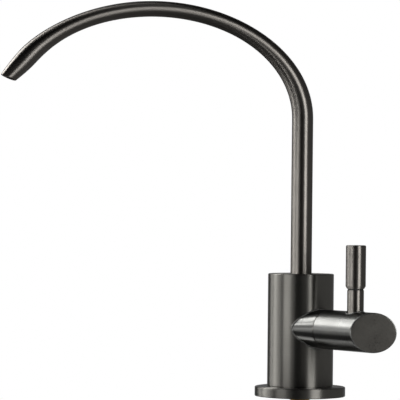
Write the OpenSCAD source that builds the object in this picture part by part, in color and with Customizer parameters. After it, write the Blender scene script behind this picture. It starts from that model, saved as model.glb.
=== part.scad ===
// Drinking water filter tap: a gooseneck spout that swivels on a round body, a base flange,
// a side barrel handle with an upright lever, and the fixing and inlet parts under the deck.
// Millimetres. The origin is the centre of the deck face, +Z is up, and the spout reaches along -X.

/* [Spout] */
// Outside diameter of the riser
tube_d = 12; // [11:0.5:13]
// Wall of the spout tube
tube_wall = 1; // [0.8:0.1:1.2]
// Outside diameter at the crown of the arch
crown_d = 8.9; // [8:0.1:11]
// Widest outside diameter of the nozzle
nozzle_d = 11.5; // [9.2:0.1:13]
// Outside diameter of the drawn-in lip
lip_d = 8.7; // [7.8:0.1:9]
// Height of the crown's centre line above the deck
crown_h = 218.5; // [190:0.5:320]
// Distance from the riser to the crown
arch_reach = 85; // [60:0.5:110]
// Height of the bend, from the end of the straight riser to the crown
arch_rise = 61.5; // [45:0.5:95]
// Angle past the crown at which the arch ends in the straight nozzle
nozzle_angle = 56.5; // [45:0.5:70]
// Length of the nozzle
nozzle_h = 16.4; // [10:0.2:24]
// Slant of the cut across the lip, longer on the outer side of the bend
lip_slant = 20; // [0:1:25]
// Length of the flow straightener
straightener_h = 4; // [2:0.5:6]
// Thickness of the straightener's ring and vanes
vane_t = 0.6; // [0.4:0.1:0.8]

/* [Body] */
// Diameter of the body
body_d = 37.2; // [36:0.1:44]
// Height of the body's top above the deck
body_h = 69.5; // [60:0.5:90]
// Diameter of the base flange
flange_d = 51.2; // [46:0.2:64]
// Height of the flange's top above the deck
flange_t = 5.7; // [4:0.1:7]
// Chamfer on the edges of the body, flange and handle
edge = 0.5; // [0.2:0.1:0.8]
// Height and depth of the shadow line under the body
shadow_gap = 0.6; // [0.3:0.1:1]
// Diameter of the collar in the top of the body
collar_d = 20; // [19:0.5:24]
// Thickness of the collar
collar_t = 3; // [2:0.25:4]
// Diameter of the socket that the spout turns in
socket_d = 16; // [15.5:0.25:17]
// Depth of that socket under the collar
socket_h = 13.5; // [13:0.25:15]
// Wire thickness of the spout's O-rings
spout_ring_w = 1.8; // [1.6:0.1:2]
// Wire thickness of the retaining clip
clip_w = 1.4; // [1:0.1:1.6]

/* [Handle] */
// Direction of the handle, in degrees from straight ahead towards the right
handle_angle = 35; // [0:1:90]
// Depth of the barrel's axis below the top of the body
valve_drop = 30.5; // [29.5:0.5:34]
// Diameter of the fixed valve housing
housing_d = 21.8; // [21:0.1:23]
// Reach of the housing's saddle to each side of the barrel's axis, against the body
saddle_reach = 14.6; // [12:0.1:16]
// Distance from the tap's axis at which the saddle starts to draw in
saddle_at = 11.5; // [10:0.5:16]
// Diameter of the turning barrel
barrel_d = 22.1; // [21:0.1:25]
// Distance from the tap's axis to the seam between housing and barrel
seam_at = 26; // [25.5:0.5:30]
// Width of the seam
seam_gap = 0.4; // [0.3:0.1:0.8]
// Distance from the tap's axis to the centre of the barrel's end face
barrel_reach = 66.8; // [64:0.2:90]
// Slant of the end face
end_slant = 31; // [0:1:35]
// Distance from the tap's axis to the lever
lever_at = 50.4; // [47:0.2:53]
// Diameter of the lever's neck
neck_d = 9.2; // [8:0.2:10]
// Height of the neck above the barrel
neck_h = 12.5; // [8:0.5:20]
// Diameter of the lever's grip
grip_d = 11.1; // [10:0.1:14]
// Length of the grip
grip_h = 24; // [18:0.2:40]
// Chamfer on the ends of the grip and on top of the neck
grip_edge = 0.6; // [0.3:0.1:1]
// Diameter of the lever's threaded studs
stud_d = 6; // [5:0.5:6]
// Diameter of the grub screw
grub_d = 4; // [3:0.5:5]
// Length of the grub screw
grub_h = 6; // [4:0.5:7]

/* [Valve] */
// Bore of the valve housing
cartridge_d = 16; // [15.5:0.25:16.5]
// Diameter of the ceramic discs
disc_d = 12; // [11:0.25:12]
// Thickness of each ceramic disc
disc_t = 2.5; // [2:0.25:3]
// Thickness of the seat seal
seat_t = 2.5; // [2:0.25:3]
// Diameter of the spindle
spindle_d = 8; // [7:0.25:8]
// Width of the square that drives the handle
drive_w = 5.4; // [4.6:0.1:5.6]
// Wire thickness of the spindle's O-rings
spindle_ring_w = 1.4; // [1:0.1:1.6]
// Turn of the handle from closed to open
quarter_turn = 90; // [80:1:100]
// Diameter of the water ways inside the body
water_d = 5; // [4:0.25:5.5]

/* [Under the deck] */
// Thickness of the deck that the tap is clamped to
deck_t = 20; // [3:0.5:22]
// Outside diameter of the threaded shank
shank_d = 12; // [10:0.5:12]
// Bore of the shank
shank_bore = 6; // [5:0.25:6.5]
// Length of the shank below the deck
shank_h = 48; // [46:1:80]
// Outside diameter of the rubber washer
rubber_d = 28; // [24:0.5:40]
// Thickness of the rubber washer
rubber_t = 3; // [2:0.25:4]
// Outside diameter of the steel washer
washer_d = 26; // [22:0.5:36]
// Thickness of the steel washer
washer_t = 1.5; // [1:0.25:2]
// Width of the lock nut across its flats
nut_w = 19; // [17:0.5:24]
// Height of the lock nut
nut_h = 8; // [5:0.5:8]
// Radial width of the deck gasket
gasket_w = 7.5; // [4:0.25:8]
// Thickness of the deck gasket
gasket_t = 2.3; // [1.5:0.1:3]
// Height by which the gasket stands out of the flange
gasket_proud = 0.3; // [0.2:0.1:0.5]

/* [Inlet] */
// Outside diameter of the supply tube that pushes in
supply_d = 6.35; // [6:0.05:6.5]
// Width of the inlet fitting across its flats
fitting_w = 19; // [18:0.5:24]
// Length of shank inside the fitting
fitting_grip = 10; // [8:0.5:12]
// Length of the supply tube's seat
supply_seat = 4; // [3:0.5:6]
// Travel of the release collet
collet_travel = 1.5; // [1:0.1:1.8]
// Thickness of the face seals on the shank
face_seal_t = 1.5; // [1:0.1:2]
// Wire thickness of the inlet O-ring
inlet_ring_w = 1.7; // [1.5:0.1:2]

/* [Fits] */
// Radial clearance of pieces that run or screw in each other
slip = 0.05; // [0.03:0.01:0.08]
// Room between curved faces that only pass each other
room = 0.3; // [0.25:0.05:0.4]

/* [Hidden] */
$fn = 96;

gunmetal = "#45464a";
brass = "#b9974f";
steel = "#b8bbbf";
rubber = "#1d1d1f";
ceramic = "#f1eee6";
nylon = "#e8e6df";
white_plastic = "#eceae5";
grey_plastic = "#8f9396";

// Cuts run this far past the faces that they open
over = 1;
// Film between flat faces that slide on each other
film = 0.02;
// Thinnest wall left between two water ways
wall = 2.5;
// Play of an O-ring in its groove, at each side
groove_play = 0.1;
// Metal left between two O-ring grooves on a shaft, or between a groove and a shoulder
ring_gap = 0.8;
// Sides of a round wire
wire_sides = 48;

tube_r = tube_d / 2;
body_r = body_d / 2;
flange_r = flange_d / 2;
socket_r = socket_d / 2;
housing_r = housing_d / 2;
// The saddle covers the housing with a thin skin, so that the two have no face in common
saddle_core_r = housing_r + slip;
barrel_r = barrel_d / 2;
neck_r = neck_d / 2;
grip_r = grip_d / 2;
stud_r = stud_d / 2;
cartridge_r = cartridge_d / 2;
disc_r = disc_d / 2;
spindle_r = spindle_d / 2;
water_r = water_d / 2;
shank_r = shank_d / 2;
supply_r = supply_d / 2 + slip;

// Facets of the bent tube: sides round it, steps along its arch and its nozzle
tube_sides = 28;
arch_steps = 34;
nozzle_steps = 6;
riser_top = crown_h - arch_rise;
// How late the tube swells from the crown to the riser and to the nozzle
swell_power = 4;

// Levels of the swivel joint, downwards from the top of the body
collar_z = body_h - collar_t;
socket_z = collar_z - socket_h;
foot_top = collar_z - room;
foot_z = socket_z + room;
// Depth to which the tube is brazed into the foot
tube_seat_h = 4.5;
tube_end_z = foot_top - tube_seat_h;
clip_z = foot_top - tube_seat_h / 2;
// Metal left between the foot's two O-ring grooves
foot_land = 1.2;
lower_ring_z = foot_z + spout_ring_w / 2 + ring_gap;
upper_ring_z = lower_ring_z + spout_ring_w + foot_land;

// Height of the barrel's axis above the deck
valve_h = body_h - valve_drop;

// Places along the valve's axis, outwards from the tap's axis
valve_floor = 1.5;
// Distance from the valve's floor to the way out of it
outlet_margin = 1;
inlet_way_at = valve_floor - wall - water_r;
outlet_way_at = valve_floor + outlet_margin + water_r;
// Part of the seat seal's thickness that stands below the sleeve
seat_share = 0.6;
sleeve_start = valve_floor + seat_t * seat_share;
fixed_disc_at = valve_floor + seat_t;
moving_disc_at = fixed_disc_at + disc_t + film;
head_at = moving_disc_at + disc_t + film;
head_t = 4;
thrust_t = 0.6;
thrust_at = head_at + head_t + film;
shoulder_at = thrust_at + thrust_t + film;
first_ring_at = shoulder_at + ring_gap + spindle_ring_w / 2;
second_ring_at = first_ring_at + spindle_ring_w + ring_gap;
// Distance from the sleeve's inner shoulder to its wide end
shoulder_step = 0.6;
sleeve_flange_at = shoulder_at + shoulder_step;
stop_at = second_ring_at + spindle_ring_w / 2 + ring_gap;
stop_t = 2.4;
gland_lip_at = stop_at + stop_t + room;
gland_lip_t = 3;
gland_end = gland_lip_at + gland_lip_t;
barrel_start = seam_at + seam_gap;
// Where the square starts inside the gland nut, and how far it and the grub screw lie past the seam
drive_inset = 1.5;
drive_depth = 11;
grub_depth = 6;
drive_at = gland_end - drive_inset;
drive_end = seam_at + drive_depth;
grub_at = seam_at + grub_depth;
// The spindle's stop lug: its width, its place when closed and its margin at each stop
lug_angle = 40;
stop_margin = 2;
lug_start = -130;
// Wall of the gland nut round the stops
gland_wall = 1.4;
stop_r = cartridge_r - gland_wall;
sleeve_wall = 0.9;
chamber_r = disc_r + room;
head_inset = 0.4;
head_r = disc_r - head_inset;
tongue_w = 3;
tongue_t = 1.2;
// Distance of the tongue's ends from the edge of the head, and its root in the head
tongue_inset = 0.75;
tongue_root = 0.1;
disc_port_r = 1.5;
disc_rim = 1;
disc_port_at = disc_r - disc_port_r - disc_rim;
cartridge_ring_w = 1.6;
cartridge_ring_at = (sleeve_flange_at + stop_at) / 2;

// Levels of the lever above the barrel's axis
seat_r = neck_r + room;
// Depth of the flat that the neck stands on, below the barrel's lowest edge round it
seat_cut = 0.15;
neck_seat = sqrt(barrel_r * barrel_r - seat_r * seat_r) - seat_cut;
neck_top = barrel_r + neck_h;
stud_bottom = -2;
grip_roof = 4;
grip_bore_h = grip_h - grip_roof;
// Key socket of the grub screw
key_w = 2;
key_h = 2.5;

// Levels under the deck
// Length of shank inside the body
shank_hold = 12;
shank_top = flange_t + shank_hold;
// Distance of the gasket from the edge of the flange
gasket_inset = 3;
gasket_r = flange_r - gasket_inset;
rubber_z = -deck_t - rubber_t;
washer_z = rubber_z - washer_t;
nut_z = washer_z - nut_h;
fitting_top = -shank_h + fitting_grip;
fitting_floor = -shank_h - face_seal_t;
// Web of the fitting that stops the supply tube
stop_web = 3.5;
supply_stop = fitting_floor - stop_web;
oring_top = supply_stop - supply_seat;
inlet_ring_play = 0.6;
oring_h = inlet_ring_w + inlet_ring_play;
grip_ring_t = 0.8;
grip_ring_z = oring_top - oring_h - grip_ring_t;
cap_gap = 0.2;
cap_top = grip_ring_z - cap_gap;
cap_h = 5.4;
cap_z = cap_top - cap_h;
cap_lip_h = 2.6;
// Walls of the collet, its barb and its flange, the cap and the fitting
collet_wall = 1.6;
barb_w = 0.7;
flange_w = 0.5;
cap_wall = 1.4;
fitting_wall = 1.4;
grip_ring_rim = 0.4;
collet_r = supply_r + collet_wall;
barb_r = collet_r + barb_w;
barb_t = 1;
barb_edge = 0.1;
barb_z = cap_z + cap_lip_h + room;
collet_flange_t = 1.6;
// Gap that is left under the cap when the collet is pushed in
collet_gap = 0.5;
collet_z = cap_z - collet_travel - collet_gap - collet_flange_t;
cap_r = barb_r + room + cap_wall;
fitting_r = cap_r + fitting_wall;
grip_ring_r = barb_r + grip_ring_rim;

// Quarter waves that rise from 0 to 1, flat at the start or at the end
function ease_in(u) = 1 - cos(90 * u);
function ease_out(u) = sin(90 * u);

// Outside radius of the tube at an angle from the crown, negative on the riser's side
function arch_r(a) = a < 0
    ? (crown_d + (tube_d - crown_d) * pow(sin(a), swell_power)) / 2
    : (crown_d + (nozzle_d - crown_d) * ease_out(pow(a / nozzle_angle, swell_power))) / 2;

// Outside radius at a part u of the nozzle's length
function nozzle_r(u) = (nozzle_d - (nozzle_d - lip_d) * ease_in(u)) / 2;

// Centre line of the arch in the XZ plane, and its direction
function arch_point(a) = [-arch_reach * (1 + sin(a)), riser_top + arch_rise * cos(a)];
function unit(v) = v / norm(v);
function arch_dir(a) = unit([-arch_reach * cos(a), -arch_rise * sin(a)]);

// A point at a part u of the nozzle's length
nozzle_dir = arch_dir(nozzle_angle);
function nozzle_point(u) = arch_point(nozzle_angle) + u * nozzle_h * nozzle_dir;

// Places of the rings along the arch and the nozzle, and a ring of points round one of them
arch_angles = [for (i = [0 : arch_steps]) -90 + i * (90 + nozzle_angle) / arch_steps];
nozzle_parts = [for (i = [1 : nozzle_steps]) i / nozzle_steps];
function tube_ring(p, d, r, slant) = [
    for (k = [0 : tube_sides - 1])
        let (
            c = r * cos(k * 360 / tube_sides),
            s = r * sin(k * 360 / tube_sides),
            ahead = c * tan(slant)
        )
            [p.x + c * d.y + ahead * d.x, s, p.y - c * d.x + ahead * d.y]
];
function tube_rings(inset) = concat(
    tube_ring([0, tube_end_z], [0, 1], tube_r - inset, 0),
    [for (a = arch_angles) each tube_ring(arch_point(a), arch_dir(a), arch_r(a) - inset, 0)],
    [for (u = nozzle_parts)
        each tube_ring(nozzle_point(u), nozzle_dir, nozzle_r(u) - inset, lip_slant * u)]
);

// Triangles between two rings of points that start at the indices i and j
function band(i, j) = [
    for (k = [0 : tube_sides - 1])
        let (n = (k + 1) % tube_sides)
            each [[i + k, j + k, j + n], [i + k, j + n, i + n]]
];

module ring(r_out, r_in, z0, z1) {
    difference() {
        translate([0, 0, z0])
            cylinder(r = r_out, h = z1 - z0);
        translate([0, 0, z0 - over])
            cylinder(r = r_in, h = z1 - z0 + 2 * over);
    }
}

// A turned piece with a chamfer on both end edges
module turned(r, z0, z1, low, high) {
    rotate_extrude()
        polygon([[0, z0], [r - low, z0], [r, z0 + low], [r, z1 - high], [r - high, z1], [0, z1]]);
}

module bore(r, z0, z1) {
    translate([0, 0, z0])
        cylinder(r = r, h = z1 - z0);
}

module torus(r, wire, z) {
    translate([0, 0, z])
        rotate_extrude()
            translate([r, 0])
                circle(d = wire, $fn = wire_sides);
}

module groove(r_out, r_in, wire, z) {
    half = wire / 2 + groove_play;
    ring(r_out, r_in, z - half, z + half);
}

module sector(r_out, r_in, z0, z1, start, sweep) {
    translate([0, 0, z0])
        rotate([0, 0, start])
            rotate_extrude(angle = sweep)
                translate([r_in, 0])
                    square([r_out - r_in, z1 - z0]);
}

module hexagon(w, z0, z1) {
    translate([0, 0, z0])
        cylinder(d = w / cos(30), h = z1 - z0, $fn = 6);
}

// Valve frame: +Z runs outwards along the barrel, -X is up
module on_valve() {
    translate([0, 0, valve_h])
        rotate([0, 0, handle_angle - 90])
            rotate([0, 90, 0])
                children();
}

// Lever frame: +Z is up, from the barrel's axis
module on_lever() {
    on_valve()
        translate([0, 0, lever_at])
            rotate([0, -90, 0])
                children();
}

// Grub screw frame: +Z runs down from the barrel's axis
module on_grub() {
    on_valve()
        translate([0, 0, grub_at])
            rotate([0, 90, 0])
                children();
}

// Tip frame: +Z runs out of the spout
module on_tip() {
    tip = nozzle_point(1);
    translate([tip.x, 0, tip.y])
        rotate([0, atan2(nozzle_dir.x, nozzle_dir.y), 0])
            children();
}

module spout_tube() {
    rings = 1 + len(arch_angles) + len(nozzle_parts);
    inner = rings * tube_sides;
    last = (rings - 1) * tube_sides;
    outside = [for (i = [0 : rings - 2]) each band(i * tube_sides, (i + 1) * tube_sides)];
    inside = [for (i = [0 : rings - 2]) each band(inner + (i + 1) * tube_sides, inner + i * tube_sides)];
    color(gunmetal)
        polyhedron(
            points = concat(tube_rings(0), tube_rings(tube_wall)),
            faces = concat(outside, inside, band(inner, 0), band(last, inner + last))
        );
}

module spout_foot() {
    foot_r = socket_r - slip;
    ring_floor = foot_r - spout_ring_w - slip;
    color(brass)
        difference() {
            turned(foot_r, foot_z, foot_top, edge, edge);
            bore(tube_r - tube_wall, foot_z - over, foot_top + over);
            bore(tube_r + slip, tube_end_z, foot_top + over);
            groove(foot_r + over, ring_floor, spout_ring_w, lower_ring_z);
            groove(foot_r + over, ring_floor, spout_ring_w, upper_ring_z);
            groove(foot_r + over, socket_r - clip_w / 2 - slip, clip_w, clip_z);
        }
}

module spout_oring_upper() {
    color(rubber) torus(socket_r - slip - spout_ring_w / 2, spout_ring_w, upper_ring_z);
}

module spout_oring_lower() {
    color(rubber) torus(socket_r - slip - spout_ring_w / 2, spout_ring_w, lower_ring_z);
}

module spout_clip() {
    open_angle = 40;
    color(steel)
        translate([0, 0, clip_z])
            rotate([0, 0, open_angle / 2])
                rotate_extrude(angle = 360 - open_angle)
                    translate([socket_r, 0])
                        circle(d = clip_w, $fn = wire_sides);
}

module flow_straightener() {
    r = lip_d / 2 - tube_wall - slip;
    lip_gap = 1;
    set_back = lip_gap + r * tan(lip_slant);
    top = -set_back - straightener_h;
    color(nylon)
        on_tip() {
            ring(r, r - vane_t, top, -set_back);
            intersection() {
                bore(r - vane_t / 2, top, -set_back);
                for (turn = [0, 90])
                    rotate([0, 0, turn])
                        translate([-r, -vane_t / 2, top])
                            cube([2 * r, vane_t, straightener_h]);
            }
        }
}

module spout_collar() {
    color(gunmetal) ring(collar_d / 2 - slip, tube_r + room, collar_z, body_h);
}

module body() {
    color(gunmetal)
        difference() {
            rotate_extrude()
                polygon([
                    [0, flange_t], [body_r - shadow_gap, flange_t],
                    [body_r - shadow_gap, flange_t + shadow_gap], [body_r, flange_t + shadow_gap],
                    [body_r, body_h - edge], [body_r - edge, body_h], [0, body_h]
                ]);
            bore(collar_d / 2, collar_z, body_h + over);
            bore(socket_r, socket_z, body_h);
            groove(socket_r + clip_w / 2 + room, socket_r - over, clip_w + room, clip_z);
            bore(shank_r + slip, flange_t - over, shank_top + face_seal_t);
            on_valve() {
                bore(water_r, inlet_way_at, valve_floor + over);
                bore(housing_r + slip, valve_floor, body_d);
            }
            rotate([0, 0, handle_angle - 90]) {
                translate([inlet_way_at, 0, shank_top])
                    cylinder(r = water_r, h = valve_h - shank_top);
                translate([outlet_way_at, 0, valve_h])
                    cylinder(r = water_r, h = socket_z - valve_h + over);
            }
        }
}

module base_flange() {
    color(gunmetal)
        difference() {
            turned(flange_r, gasket_proud, flange_t, edge, edge);
            bore(shank_r + room, 0, flange_t + over);
            ring(gasket_r, gasket_r - gasket_w, 0, gasket_t);
        }
}

module deck_gasket() {
    color(rubber) ring(gasket_r - slip, gasket_r - gasket_w + slip, 0, gasket_t);
}

// The housing's widened root, shaped to the body that it sits against
module saddle() {
    difference() {
        hull() {
            bore(saddle_core_r, saddle_at, seam_at - edge);
            scale([1, saddle_reach / saddle_core_r, 1])
                bore(saddle_core_r, valve_floor, saddle_at);
        }
        rotate([0, 90, 0])
            cylinder(r = body_r + slip, h = body_h, center = true);
    }
}

module valve_housing() {
    color(gunmetal)
        on_valve()
            difference() {
                union() {
                    turned(housing_r, valve_floor, seam_at, edge / 2, edge / 2);
                    saddle();
                }
                bore(cartridge_r, valve_floor - over, seam_at + over);
                translate([0, 0, outlet_way_at])
                    rotate([0, -90, 0])
                        cylinder(r = water_r, h = housing_r + over);
            }
}

module cartridge_sleeve() {
    neck = chamber_r + sleeve_wall;
    window_r = 2;
    window_at = moving_disc_at + disc_t;
    sweep = quarter_turn + lug_angle + 2 * stop_margin;
    ring_floor = cartridge_r - slip - cartridge_ring_w;
    color(brass)
        on_valve()
            difference() {
                union() {
                    bore(neck, sleeve_start, sleeve_flange_at);
                    bore(cartridge_r - slip, sleeve_flange_at, stop_at);
                    sector(stop_r, spindle_r / 2, stop_at - over, stop_at + stop_t,
                        lug_start - stop_margin + sweep, 360 - sweep);
                }
                bore(chamber_r, sleeve_start - over, shoulder_at);
                bore(spindle_r + slip, shoulder_at - over, stop_at + stop_t + over);
                groove(cartridge_r, ring_floor, cartridge_ring_w, cartridge_ring_at);
                translate([-neck - over, 0, window_at])
                    rotate([0, 90, 0])
                        cylinder(r = window_r, h = 2 * (neck + over));
            }
}

module seat_seal() {
    lip = 0.5;
    color(rubber)
        on_valve()
            ring(chamber_r - slip, water_r + lip, valve_floor, fixed_disc_at);
}

// A ceramic disc with two ports; the moving one also has a slot for the spindle's tongue
module disc(r, at, ports_turn) {
    difference() {
        bore(r, at, at + disc_t);
        for (side = [0, 180])
            rotate([0, 0, ports_turn + side])
                translate([disc_port_at, 0, 0])
                    bore(disc_port_r, at - over, at + disc_t + over);
    }
}

module fixed_disc() {
    color(ceramic) on_valve() disc(chamber_r - slip, fixed_disc_at, 0);
}

module moving_disc() {
    slot_w = tongue_w + 2 * slip;
    color(ceramic)
        on_valve()
            difference() {
                disc(disc_r, moving_disc_at, 90);
                for (side = [0, 180])
                    rotate([0, 0, 90 + side])
                        translate([disc_port_at, -disc_port_r, moving_disc_at - over])
                            cube([disc_r, 2 * disc_port_r, disc_t + 2 * over]);
                translate([-disc_r, -slot_w / 2, moving_disc_at + disc_t - tongue_t])
                    cube([2 * disc_r, slot_w, tongue_t + over]);
            }
}

module thrust_washer() {
    color(nylon) on_valve() ring(chamber_r - slip, spindle_r + room, thrust_at, thrust_at + thrust_t);
}

module spindle() {
    ring_floor = spindle_r - spindle_ring_w;
    tongue_l = 2 * (head_r - tongue_inset);
    color(brass)
        on_valve()
            difference() {
                union() {
                    bore(head_r, head_at, head_at + head_t);
                    translate([-tongue_l / 2, -tongue_w / 2, head_at - tongue_t + tongue_root])
                        cube([tongue_l, tongue_w, tongue_t]);
                    bore(spindle_r, head_at + head_t, drive_at);
                    sector(stop_r - room, spindle_r / 2, stop_at + room, stop_at + stop_t - room,
                        lug_start, lug_angle);
                    translate([-drive_w / 2, -drive_w / 2, drive_at])
                        cube([drive_w, drive_w, drive_end - drive_at]);
                }
                groove(spindle_r + over, ring_floor, spindle_ring_w, first_ring_at);
                groove(spindle_r + over, ring_floor, spindle_ring_w, second_ring_at);
            }
}

module spindle_orings() {
    color(rubber)
        on_valve()
            for (at = [first_ring_at, second_ring_at])
                torus(spindle_r - spindle_ring_w / 2, spindle_ring_w, at);
}

module cartridge_oring() {
    color(rubber)
        on_valve()
            torus(cartridge_r - slip - cartridge_ring_w / 2, cartridge_ring_w, cartridge_ring_at);
}

module gland_nut() {
    slot_w = 3;
    slot_h = 2;
    color(brass)
        on_valve()
            difference() {
                bore(cartridge_r - slip, stop_at, gland_end);
                bore(stop_r + room, stop_at - over, gland_lip_at);
                bore(spindle_r + room, stop_at - over, gland_end + over);
                translate([-cartridge_r, -slot_w / 2, gland_end - slot_h])
                    cube([2 * cartridge_r, slot_w, slot_h + over]);
            }
}

module handle_barrel() {
    hub_w = drive_w + 2 * slip;
    cut = 4 * barrel_r;
    color(gunmetal)
        difference() {
            on_valve()
                turned(barrel_r, barrel_start, barrel_reach + barrel_r, edge / 2, edge / 2);
            on_valve()
                translate([0, 0, barrel_reach])
                    rotate([end_slant, 0, 0])
                        translate([-cut / 2, -cut / 2, 0])
                            cube(cut);
            on_valve()
                translate([-hub_w / 2, -hub_w / 2, barrel_start - over])
                    cube([hub_w, hub_w, drive_end - barrel_start + over + room]);
            on_lever()
                bore(stud_r + slip, stud_bottom - room, barrel_r + over);
            on_lever()
                bore(seat_r, neck_seat, barrel_r + over);
            on_grub()
                bore(grub_d / 2 + slip, 0, barrel_r + over);
        }
}

module lever_neck() {
    color(gunmetal)
        on_lever() {
            bore(stud_r, stud_bottom, neck_top + grip_bore_h);
            turned(neck_r, neck_seat, neck_top, edge / 2, grip_edge);
        }
}

module lever_grip() {
    color(gunmetal)
        on_lever()
            difference() {
                turned(grip_r, neck_top, neck_top + grip_h, grip_edge, grip_edge);
                bore(stud_r + slip, neck_top - over, neck_top + grip_bore_h + room);
            }
}

module grub_screw() {
    start = drive_w / 2 + slip;
    color(steel)
        on_grub()
            difference() {
                turned(grub_d / 2, start, start + grub_h, edge / 2, edge / 2);
                hexagon(key_w, start + grub_h - key_h, start + grub_h + over);
            }
}

module shank() {
    color(brass)
        difference() {
            turned(shank_r, -shank_h, shank_top, edge, edge);
            bore(shank_bore / 2, -shank_h - over, shank_top + over);
        }
}

module shank_seal() {
    color(rubber) ring(shank_r, shank_bore / 2, shank_top, shank_top + face_seal_t);
}

module deck_washer_rubber() {
    color(rubber) ring(rubber_d / 2, shank_r + room, rubber_z, -deck_t);
}

module deck_washer_steel() {
    color(steel) ring(washer_d / 2, shank_r + room, washer_z, rubber_z);
}

module lock_nut() {
    color(brass)
        difference() {
            intersection() {
                hexagon(nut_w, nut_z, washer_z);
                turned(nut_w / 2 / cos(30), nut_z, washer_z, 2 * edge, 2 * edge);
            }
            bore(shank_r + slip, nut_z - over, washer_z + over);
        }
}

module inlet_fitting() {
    color(white_plastic)
        difference() {
            union() {
                hexagon(fitting_w, fitting_floor, fitting_top);
                bore(fitting_r, cap_z, fitting_floor);
            }
            bore(shank_r + slip, fitting_floor, fitting_top + over);
            bore(shank_bore / 2, supply_stop - over, fitting_floor + over);
            bore(supply_r, oring_top - over, supply_stop);
            bore(supply_r + inlet_ring_w + 2 * slip, grip_ring_z - over, oring_top);
            bore(grip_ring_r + slip, cap_top - over, grip_ring_z + grip_ring_t);
            bore(cap_r + slip, cap_z - over, cap_top);
        }
}

module inlet_face_seal() {
    color(rubber) ring(shank_r, shank_bore / 2, fitting_floor, -shank_h);
}

module inlet_oring() {
    color(rubber) torus(supply_r + slip + inlet_ring_w / 2, inlet_ring_w, oring_top - oring_h / 2);
}

module grip_ring() {
    teeth = 8;
    tooth_gap = 0.8;
    color(steel)
        difference() {
            ring(grip_ring_r, supply_r + slip, grip_ring_z, grip_ring_z + grip_ring_t);
            for (k = [0 : teeth - 1])
                rotate([0, 0, k * 360 / teeth])
                    translate([0, -tooth_gap / 2, grip_ring_z - over])
                        cube([collet_r, tooth_gap, grip_ring_t + 2 * over]);
        }
}

module inlet_cap() {
    color(grey_plastic)
        difference() {
            bore(cap_r, cap_z, cap_top);
            bore(collet_r + room, cap_z - over, cap_top + over);
            bore(barb_r + room, cap_z + cap_lip_h, cap_top + over);
        }
}

module release_collet() {
    flange = collet_z + collet_flange_t;
    color(grey_plastic)
        difference() {
            union() {
                turned(barb_r + flange_w, collet_z, flange, edge / 2, edge / 2);
                bore(collet_r, flange, barb_z + barb_t);
                turned(barb_r, barb_z, barb_z + barb_t, barb_edge, edge / 2);
            }
            bore(supply_r + slip, collet_z - over, barb_z + barb_t + over);
        }
}

spout_tube();
spout_foot();
spout_oring_upper();
spout_oring_lower();
spout_clip();
flow_straightener();
spout_collar();
body();
base_flange();
deck_gasket();
valve_housing();
cartridge_sleeve();
seat_seal();
fixed_disc();
moving_disc();
thrust_washer();
spindle();
spindle_orings();
cartridge_oring();
gland_nut();
handle_barrel();
lever_neck();
lever_grip();
grub_screw();
shank();
shank_seal();
deck_washer_rubber();
deck_washer_steel();
lock_nut();
inlet_fitting();
inlet_face_seal();
inlet_oring();
grip_ring();
inlet_cap();
release_collet();
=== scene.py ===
"""Drinking water filter tap: the looks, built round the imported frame.

Sizes are in millimetres and become metres when a mesh is made. Azimuths are in degrees from the
camera's side, positive to the right of the picture.
"""

import math
from collections import namedtuple

import bmesh
import bpy
from mathutils import Matrix, Vector


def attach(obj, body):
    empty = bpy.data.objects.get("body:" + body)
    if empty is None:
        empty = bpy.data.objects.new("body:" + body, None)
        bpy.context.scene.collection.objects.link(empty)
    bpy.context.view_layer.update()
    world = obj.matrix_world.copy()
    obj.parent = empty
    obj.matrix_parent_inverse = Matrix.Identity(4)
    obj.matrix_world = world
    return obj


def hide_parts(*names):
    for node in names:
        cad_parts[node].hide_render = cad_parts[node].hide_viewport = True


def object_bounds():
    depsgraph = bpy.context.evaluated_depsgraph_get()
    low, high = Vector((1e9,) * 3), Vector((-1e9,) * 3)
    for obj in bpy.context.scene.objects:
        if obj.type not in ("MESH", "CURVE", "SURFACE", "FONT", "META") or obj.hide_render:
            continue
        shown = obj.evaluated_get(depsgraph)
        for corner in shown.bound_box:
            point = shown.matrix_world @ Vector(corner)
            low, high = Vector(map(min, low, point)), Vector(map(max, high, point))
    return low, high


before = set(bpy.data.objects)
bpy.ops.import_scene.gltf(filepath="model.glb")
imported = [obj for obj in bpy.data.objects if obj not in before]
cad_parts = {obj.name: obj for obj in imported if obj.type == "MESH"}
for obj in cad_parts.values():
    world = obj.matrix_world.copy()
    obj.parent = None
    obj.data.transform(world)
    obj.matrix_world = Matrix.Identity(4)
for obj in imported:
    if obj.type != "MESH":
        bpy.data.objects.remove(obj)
cad_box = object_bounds()

MM = 0.001

# Spout, as in the part's source
TUBE_R = 6.0
TUBE_WALL = 1.0
CROWN_D = 8.9
NOZZLE_D = 11.5
LIP_D = 8.7
CROWN_H = 218.5
ARCH_REACH = 85.0
ARCH_RISE = 61.5
NOZZLE_ANGLE = 56.5
NOZZLE_H = 16.4
LIP_SLANT = 20.0
SWELL_POWER = 4
TUBE_END_Z = 61.7
RISER_TOP = CROWN_H - ARCH_RISE
# Share of the lip's slant that turns it to the front, and the rounding of the lip
LIP_FRONT = 0.4
LIP_ROUND = 0.3

# Body and base, as in the part's source
BODY_R = 18.6
BODY_H = 69.5
FLANGE_R = 25.6
FLANGE_T = 5.7
SHADOW_GAP = 0.6
COLLAR_R = 10.0
COLLAR_Z = 66.5
SOCKET_R = 8.0
SOCKET_Z = 53.0
GASKET_PROUD = 0.3
GASKET_T = 2.3
GASKET_R = 22.6
GASKET_IN_R = 15.1
SLIP = 0.05
ROOM = 0.3
CUT_OVER = 1.0

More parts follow.
